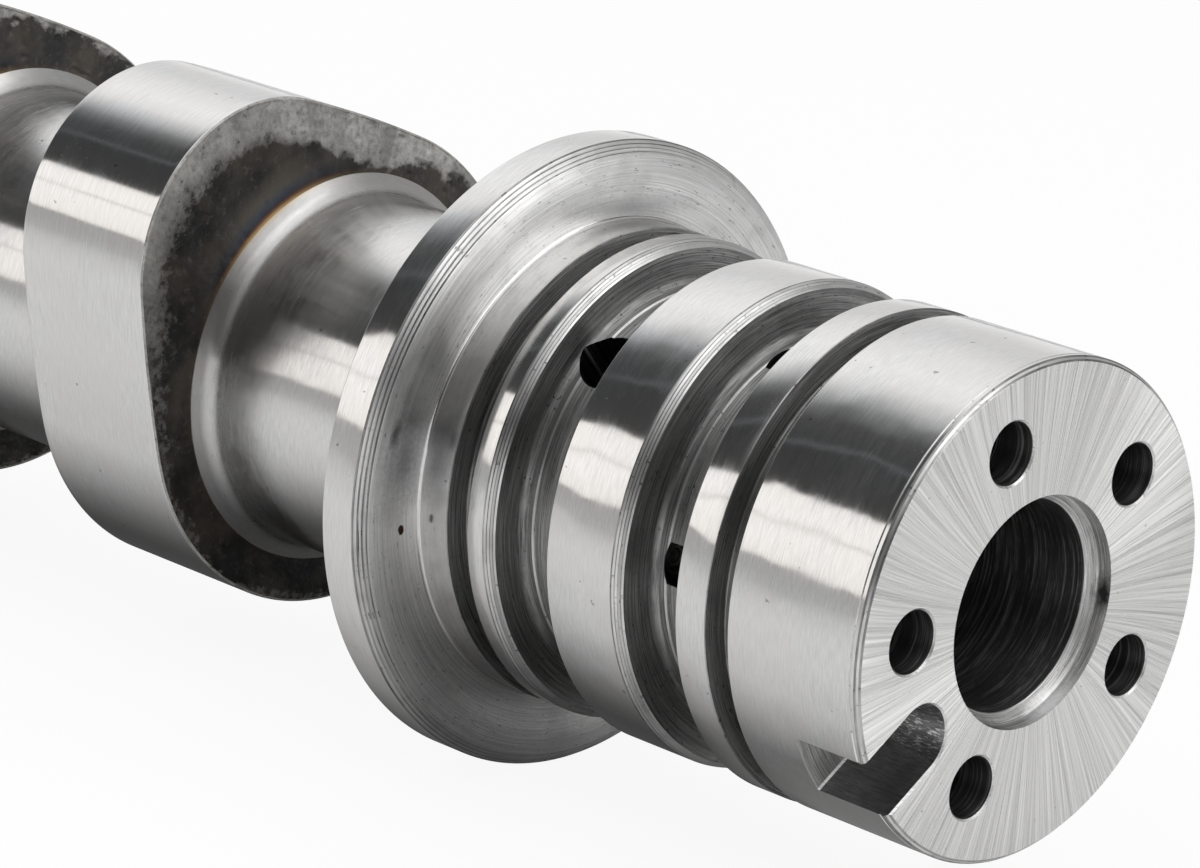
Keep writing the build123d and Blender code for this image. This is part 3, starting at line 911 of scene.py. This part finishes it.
def cast_iron():
    """Cast skin: smooth dark oxide where the skin is whole, mottled grey where it is rubbed bare. The
    cover also holds painted light and shade: lighter on top, darker lower down.

    Next to the ground shaft the grinding heat has left a thin gold, brown and blue ring. It is drawn
    on the lit side only, so it is partly painted light.
    """
    f = Finish("cast_iron", Metallic=0.45)
    grit = f.noise(f.position, 2.6, 4.0, 0.65)
    specks = f.noise(f.position, 1.5, 5.0, 0.78)
    cloud = f.noise(f.position, 0.3, 3.0, 0.5)
    worn = (
        (0.0, (0.04, 0.038, 0.035)),
        (0.2, (0.3, 0.29, 0.275)),
        (0.6, (0.45, 0.44, 0.42)),
        (1.0, (0.62, 0.61, 0.59)),
    )
    bare = f.ramp(f.spread(specks, 0.3, 0.7), worn)
    oxide = f.mix(f.spread(cloud, 0.4, 0.65), grey(0.012, 0.0), grey(0.045, 0.2))
    oxide = f.mix(f.spread(grit, 0.6, 0.8, 0.0, 0.4), oxide, grey(0.09, 0.05))
    streaks = f.noise(f.around_axis(0.8, 5.0), 1.0, 5.0, 0.7)
    bare = f.mix(f.spread(streaks, 0.42, 0.62, 0.0, 0.6), bare, (0.13, 0.125, 0.115, 1))
    # The stored cover is real wear plus painted light on top and painted shade lower down.
    torn = f.math("ADD", f.stored("crust_and_shade"), f.spread(specks, 0.3, 0.7, -0.4, 0.4))
    skinned = f.spread(torn, 0.15, 0.85)
    colour = f.mix(skinned, bare, oxide)
    tints = (
        (0.0, (0.6, 0.46, 0.28)),
        (0.1, (0.5, 0.32, 0.14)),
        (0.19, (0.2, 0.09, 0.04)),
        (0.32, (0.05, 0.03, 0.04)),
        (0.5, (0.045, 0.06, 0.085)),
        (1.0, (0.12, 0.108, 0.09)),
    )
    ring = f.ramp(f.spread(f.radius, 14.85, 16.6), tints)
    # Heat tint ring on the lobe side, drawn on the lit side only: partly painted light.
    near = f.math("MULTIPLY", f.spread(f.radius, 16.2, 18.2, 0.95, 0.0), f.stored("heat_tint_lit_side"))
    colour = f.mix(near, colour, ring)
    roughness = f.spread(skinned, 0.0, 1.0, 0.38, 0.42)
    normal = f.bump(grit, 0.03, f.bump(specks, 0.05))
    return f.finish(colour, roughness, normal)


# Studio

def stage_mesh(name, corners, material, hidden_from=()):
    """Flat four-cornered stage piece in metres, hidden from the named kinds of ray."""
    mesh = bpy.data.meshes.new(name)
    mesh.from_pydata(corners, [], [(0, 1, 2, 3)])
    mesh.materials.append(material)
    piece = add(name, mesh)
    for kind in hidden_from:
        setattr(piece, "visible_" + kind, False)


def plain(name, value):
    """Matt stage material of one grey."""
    material = bpy.data.materials.new(name)
    material.use_nodes = True
    shader = material.node_tree.nodes["Principled BSDF"]
    shader.inputs["Base Color"].default_value = grey(value)
    shader.inputs["Roughness"].default_value = 1.0
    shader.inputs["Specular IOR Level"].default_value = 0.0
    return material


def floor_material():
    """Pale floor: the camera sees it mostly as plain white, with a trace of the shadow."""
    material = plain("floor", 0.86)
    tree = material.node_tree
    shader = tree.nodes["Principled BSDF"]
    glow = tree.nodes.new("ShaderNodeEmission")
    glow.inputs["Color"].default_value = (1, 1, 1, 1)
    path = tree.nodes.new("ShaderNodeLightPath")
    share = tree.nodes.new("ShaderNodeMath")
    share.operation = "MULTIPLY"
    share.inputs[1].default_value = FLOOR_WHITENESS
    mix = tree.nodes.new("ShaderNodeMixShader")
    tree.links.new(path.outputs["Is Camera Ray"], share.inputs[0])
    tree.links.new(share.outputs[0], mix.inputs[0])
    tree.links.new(shader.outputs[0], mix.inputs[1])
    tree.links.new(glow.outputs[0], mix.inputs[2])
    tree.links.new(mix.outputs[0], tree.nodes["Material Output"].inputs["Surface"])
    return material


def lamp(name, clock, place, distance, size, radiance, tint):
    """Area light that faces the shaft from a clock angle and lights matt surfaces, unseen by mirrors."""
    length, width = size
    light = bpy.data.lights.new(name, "AREA")
    light.shape = "RECTANGLE"
    light.size = length
    light.size_y = width
    light.energy = pi * length * width * radiance
    light.color = tint
    source = add(name, light)
    a = radians(clock)
    back = np.array([0, sin(a), cos(a)])
    along = np.array([1.0, 0, 0])
    turn = Matrix((along, np.cross(back, along), back)).transposed().to_4x4()
    source.matrix_world = Matrix.Translation((place, *(back[1:] * distance))) @ turn
    source.visible_camera = False
    source.visible_glossy = False


def glow_cloth():
    """Emission whose strength is the cloth's own glow attribute."""
    material = bpy.data.materials.new("glow_cloth")
    material.use_nodes = True
    tree = material.node_tree
    tree.nodes.remove(tree.nodes["Principled BSDF"])
    light = tree.nodes.new("ShaderNodeEmission")
    glow = tree.nodes.new("ShaderNodeAttribute")
    glow.attribute_name = "glow"
    tree.links.new(glow.outputs["Color"], light.inputs["Color"])
    tree.links.new(light.outputs[0], tree.nodes["Material Output"].inputs["Surface"])
    return material


def mirror_cloth(name, rows, columns, glow):
    """Grid of points, rows by columns, that glows by its colours and shows in the metal alone."""
    points = np.concatenate(rows)
    i, j = np.meshgrid(np.arange(len(rows) - 1), np.arange(columns - 1), indexing="ij")
    first = (i * columns + j).ravel()
    faces = np.stack([first, first + 1, first + columns + 1, first + columns], 1)
    mesh = bpy.data.meshes.new(name)
    mesh.from_pydata(points.tolist(), [], faces.tolist())
    colours = mesh.attributes.new("glow", "FLOAT_COLOR", "POINT")
    colours.data.foreach_set("color", np.concatenate(glow).astype(np.float32).ravel())
    mesh.materials.append(glow_cloth())
    piece = add(name, mesh)
    for kind in UNSEEN_BUT_IN_METAL:
        setattr(piece, "visible_" + kind, False)


def glow_round(table, angles):
    """Colours of the arch at clock angles, interpolated between the table's rows."""
    places, strength, warmth = zip(*((*row, 0.0)[:3] for row in table))
    glow = np.interp(angles, places, strength)
    warm = np.interp(angles, places, warmth)
    return np.stack([glow * (1 + warm), glow, glow * (1 - warm), 1 + 0 * glow], 1)


def softbox_arch():
    """Arch of cloth (x, R sin a, R cos a) in zones along X: behind the shaft, over it and two ahead."""
    angles = np.linspace(ARCH_GLOW[0][0], ARCH_GLOW[-1][0], 260)
    a = np.radians(angles)
    tables = (ARCH_GLOW, MIDDLE_GLOW, LAST_LAND_GLOW, FRONT_GLOW)
    glow = [glow_round(table, angles) for table in tables for _ in range(2)]
    rows = [np.stack([x + 0 * a, ARCH_R * np.sin(a), ARCH_R * np.cos(a)], 1) for x in ARCH_ROWS]
    mirror_cloth("softbox_arch", rows, len(a), glow)


def floor_card(height):
    """Card just over the floor: dark in the shaft's own shade, light out to the side."""
    y = np.linspace(FLOOR_CARD[0][0], FLOOR_CARD[-1][0], 600)
    glow = np.interp(y, [c[0] for c in FLOOR_CARD], [c[1] for c in FLOOR_CARD])
    rows, glows = [], []
    for x, least in FLOOR_CARD_ROWS:
        rows.append(np.stack([x + 0 * y, y, height + 0 * y], 1))
        shade = np.maximum(glow, least)
        glows.append(np.stack([shade, shade, shade, 1 + 0 * shade], 1))
    mirror_cloth("floor_card", rows, len(y), glows)


def sky():
    """White where the camera and mirrors look, and a soft grey fill for matt surfaces."""
    world = bpy.data.worlds.new("sky")
    bpy.context.scene.world = world
    world.use_nodes = True
    tree = world.node_tree
    fill = tree.nodes["Background"]
    white = tree.nodes.new("ShaderNodeBackground")
    for half, strength in ((fill, SKY_FILL), (white, 1.0)):
        half.inputs["Color"].default_value = (1, 1, 1, 1)
        half.inputs["Strength"].default_value = strength
    path = tree.nodes.new("ShaderNodeLightPath")
    seen = path.outputs["Is Camera Ray"]
    for kind in ("Is Glossy Ray", "Is Transmission Ray"):
        either = tree.nodes.new("ShaderNodeMath")
        either.operation = "MAXIMUM"
        tree.links.new(seen, either.inputs[0])
        tree.links.new(path.outputs[kind], either.inputs[1])
        seen = either.outputs[0]
    mix = tree.nodes.new("ShaderNodeMixShader")
    tree.links.new(seen, mix.inputs[0])
    tree.links.new(fill.outputs[0], mix.inputs[1])
    tree.links.new(white.outputs[0], mix.inputs[2])
    tree.links.new(mix.outputs[0], tree.nodes["World Output"].inputs["Surface"])


def studio():
    """Floor, lamps, the arch and card that the metal mirrors, and a dark flag ahead of the shaft."""
    floor_z = -FLANGE_R * MM
    signs = ((-1, -1), (1, -1), (1, 1), (-1, 1))
    floor = [(FLOOR_REACH * x, FLOOR_REACH * y, floor_z) for x, y in signs]
    stage_mesh("floor", floor, floor_material())
    stage_mesh("end_flag", END_FLAG, plain("flag_cloth", 0.05), UNSEEN_BUT_IN_METAL)
    for row in LAMPS:
        lamp(*row)
    softbox_arch()
    floor_card(floor_z + 0.2 * MM)
    sky()


def camera():
    """Camera at the fitted place. Axes: right, up and back, rolled, then turned with the shaft."""
    azimuth, elevation, roll = (radians(v) for v in (CAMERA_AZIMUTH, CAMERA_ELEVATION, CAMERA_ROLL))
    back = np.array([sin(azimuth) * cos(elevation), -cos(azimuth) * cos(elevation), sin(elevation)])
    level = np.array([cos(azimuth), sin(azimuth), 0])
    plumb = np.cross(back, level)
    right = level * cos(roll) + plumb * sin(roll)
    up = plumb * cos(roll) - level * sin(roll)
    aside = (FACE_CENTRE_PIXEL[0] - IMAGE_SIZE[0] / 2) / FOCAL_PIXELS * CAMERA_DISTANCE
    above = -(FACE_CENTRE_PIXEL[1] - IMAGE_SIZE[1] / 2) / FOCAL_PIXELS * CAMERA_DISTANCE
    place = CAMERA_DISTANCE * back - aside * right - above * up
    settle = Matrix.Rotation(radians(SHAFT_TURN), 4, "X")
    turn = Matrix((right, up, back)).transposed().to_4x4()
    lens = bpy.data.cameras.new("camera")
    lens.sensor_width = SENSOR_WIDTH
    lens.lens = FOCAL_PIXELS * SENSOR_WIDTH / IMAGE_SIZE[0]
    lens.clip_start = 0.01
    lens.clip_end = 100
    viewer = add("camera", lens)
    viewer.matrix_world = settle @ Matrix.Translation(place * MM) @ turn
    bpy.context.scene.camera = viewer


def camshaft():
    """Every visible piece of the shaft."""
    machined = [ground_steel(), faced_steel()]
    flange = dict(depth=0.014, marks=FLANGE_MARKS)
    machined += [turned_steel("turned_steel", 0.48, 0.83, dull=0.36, fine=1.2, **flange)]
    # Grooved copy: a rougher, finer cut, and a darker grey as painted shade in grooves and valleys.
    machined += [turned_steel("grooved_steel_shaded", 0.07, 0.52, dull=0.38, fine=1.3, smudges=0.3, depth=0.03)]
    machined += [drilled_steel(), milled_steel()]
    pilot = dict(smudges=0.3, crumbs=0.5, depth=0.04, metal=0.6, marks=PILOT_MARKS)
    machined += [turned_steel("pilot_steel", 0.14, 0.85, dull=0.36, **pilot)]
    lobe_steel = ground_steel("lobe_steel", film_wave=0.01)
    soft = dict(film_wave=0.05, polish=0.16, scratched=0.25, streak=0.9)
    shaft_steel = ground_steel("shaft_steel", **soft, lit_side_tint=True)
    skin_finish = cast_iron()
    pieces = [front_journal(machined), front_shaft([shaft_steel] + machined[1:])]
    store(pieces[1], "heat_tint_lit_side", lit_side(pieces[1]))
    store(pieces[1], "satin_and_shade", near_lobe(pieces[1], [PAIR_STATIONS[0]]))
    for number, (start, clock) in enumerate(zip(PAIR_STATIONS, PAIR_CLOCK_ANGLES)):
        for member, letter in enumerate("ab"):
            place = start + member * LOBE_PAIR_PITCH
            near = number == 0
            steps = NEAR_LOBE_STEPS[member] if near else FAR_LOBE_STEPS
            name = "lobe_%d%s" % (number + 1, letter)
            seed = 100 * number + 40 * member + 5
            bare = 1.0 if near and member == 0 else 0.2
            pieces.append(lobe(name, place, clock, [lobe_steel, skin_finish], seed, bare, *steps))
        ends = (start + LOBE_WIDTH, start + LOBE_PAIR_PITCH)
        bearing = span_profile(*ends, SHAFT_R, GROUND_FLARE, BEARING_SPACING)
        pieces.append(turned("bearing_%d" % (number + 1), bearing, [shaft_steel], around=256))
        store(pieces[-1], "heat_tint_lit_side", lit_side(pieces[-1]))
        store(pieces[-1], "satin_and_shade", near_lobe(pieces[-1], ends))
        if number < len(PAIR_STATIONS) - 1:
            rear = start + LOBE_PAIR_PITCH + LOBE_WIDTH
            ahead = PAIR_STATIONS[number + 1]
            rough_span = span_profile(rear, ahead, CAST_SHAFT_R, CAST_FLARE, CAST_SPACING, CAST_FLARE_BEND)
            name = "cast_span_%d" % (number + 1)
            pieces.append(turned(name, rough_span, [skin_finish], around=180, relief=cast_relief))
    pieces.append(rear_journal(machined))
    return pieces


pieces = camshaft()
for piece in pieces:
    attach(piece, "root")
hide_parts("camshaft")
studio()
camera()
bpy.context.scene.view_settings.view_transform = "Standard"
